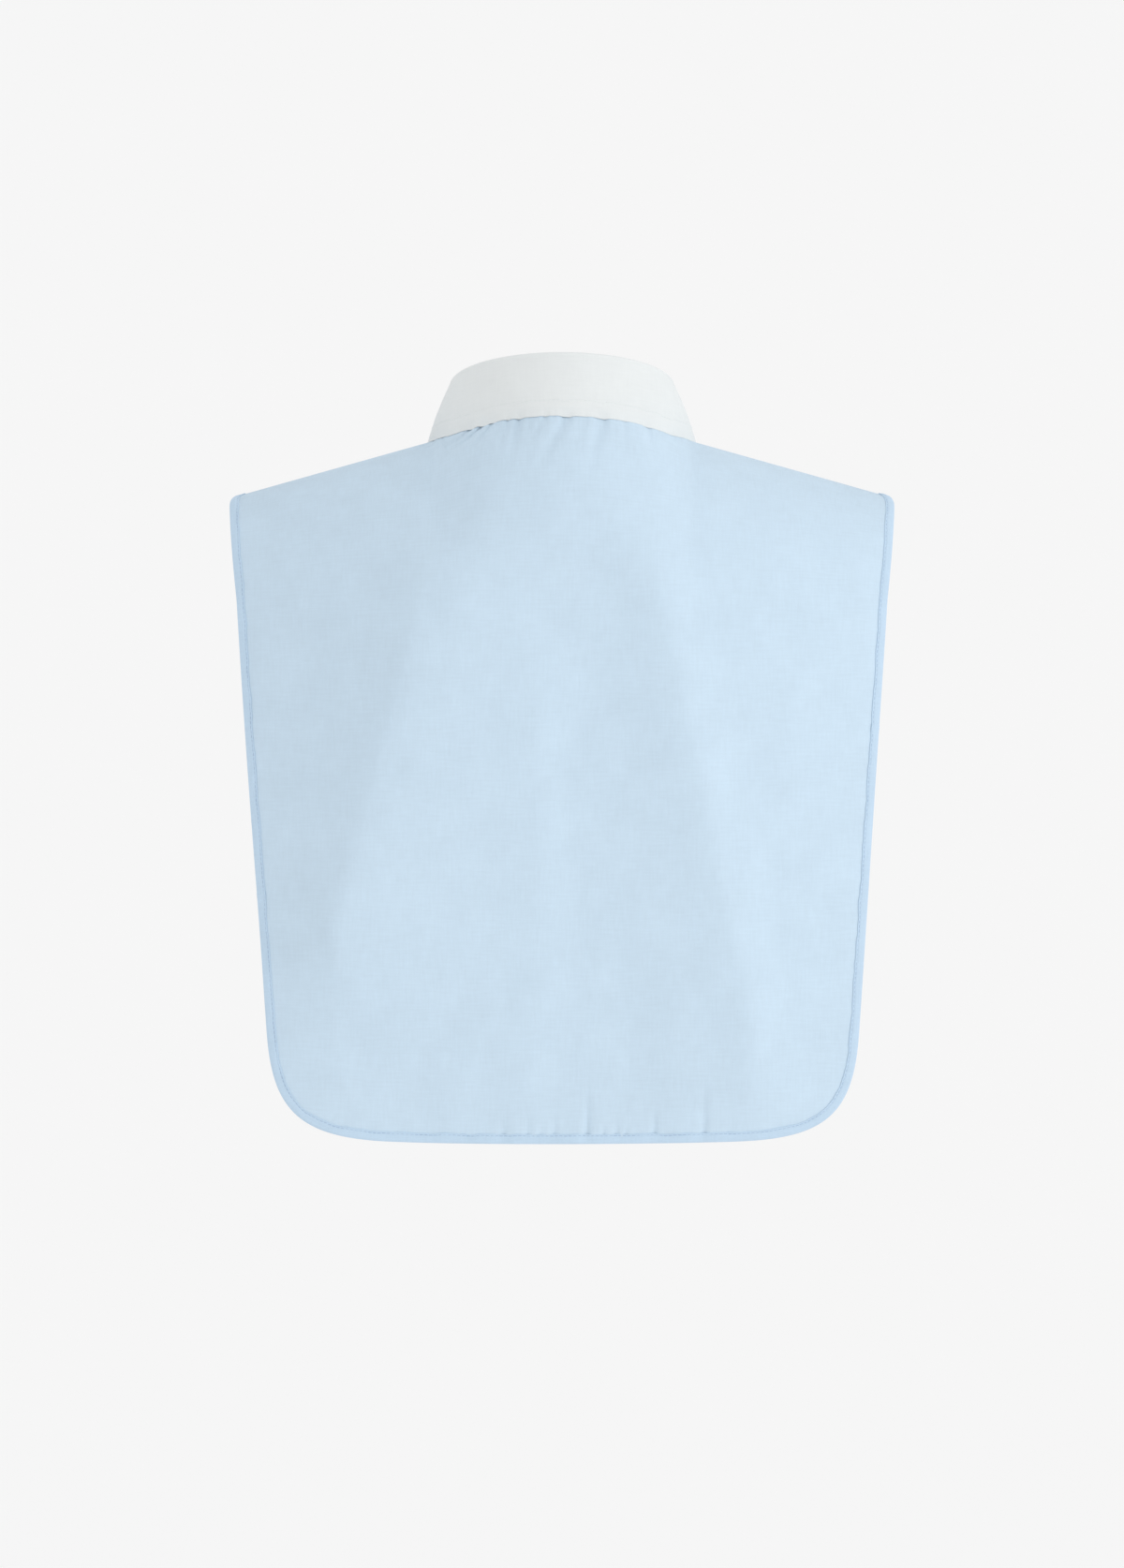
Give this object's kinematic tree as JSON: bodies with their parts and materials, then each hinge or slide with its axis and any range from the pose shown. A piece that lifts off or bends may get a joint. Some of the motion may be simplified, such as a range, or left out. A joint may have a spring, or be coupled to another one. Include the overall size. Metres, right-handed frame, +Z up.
{
  "type": "tuck-in collar",
  "caption": "White turned-down shirt collar on a short pale blue bib with a buttoned front, a plain back, rounded bottom corners and a narrow bound edge, open at the sides.",
  "frame": {"origin": "the middle of the neck seam, at the height where the seam crosses the shoulders", "axes": "+Z up along the neck, -Y the way the wearer faces, +X the wearer's left"},
  "size_m": [0.3582, 0.1978, 0.4211],
  "materials": {
    "bib_cloth": "pale blue plain-weave cotton, matt",
    "binding_cloth": "pale blue plain-weave cotton, folded and stitched, matt",
    "collar_cloth": "white plain-weave cotton, stiffened, matt",
    "button": "white, polished"
  },
  "bodies": {
    "root": {"back_panel": "bib_cloth", "front_panel_right": "bib_cloth", "front_panel_left": "bib_cloth", "edge_binding": "binding_cloth", "buttonhole_placket": "bib_cloth", "button_band": "bib_cloth", "collar_stand": "collar_cloth", "collar_fall": "collar_cloth", "placket_button_1": "button", "placket_button_2": "button", "placket_button_3": "button", "placket_button_4": "button", "placket_button_5": "button", "collar_button": "button"}
  },
  "joints": []
}
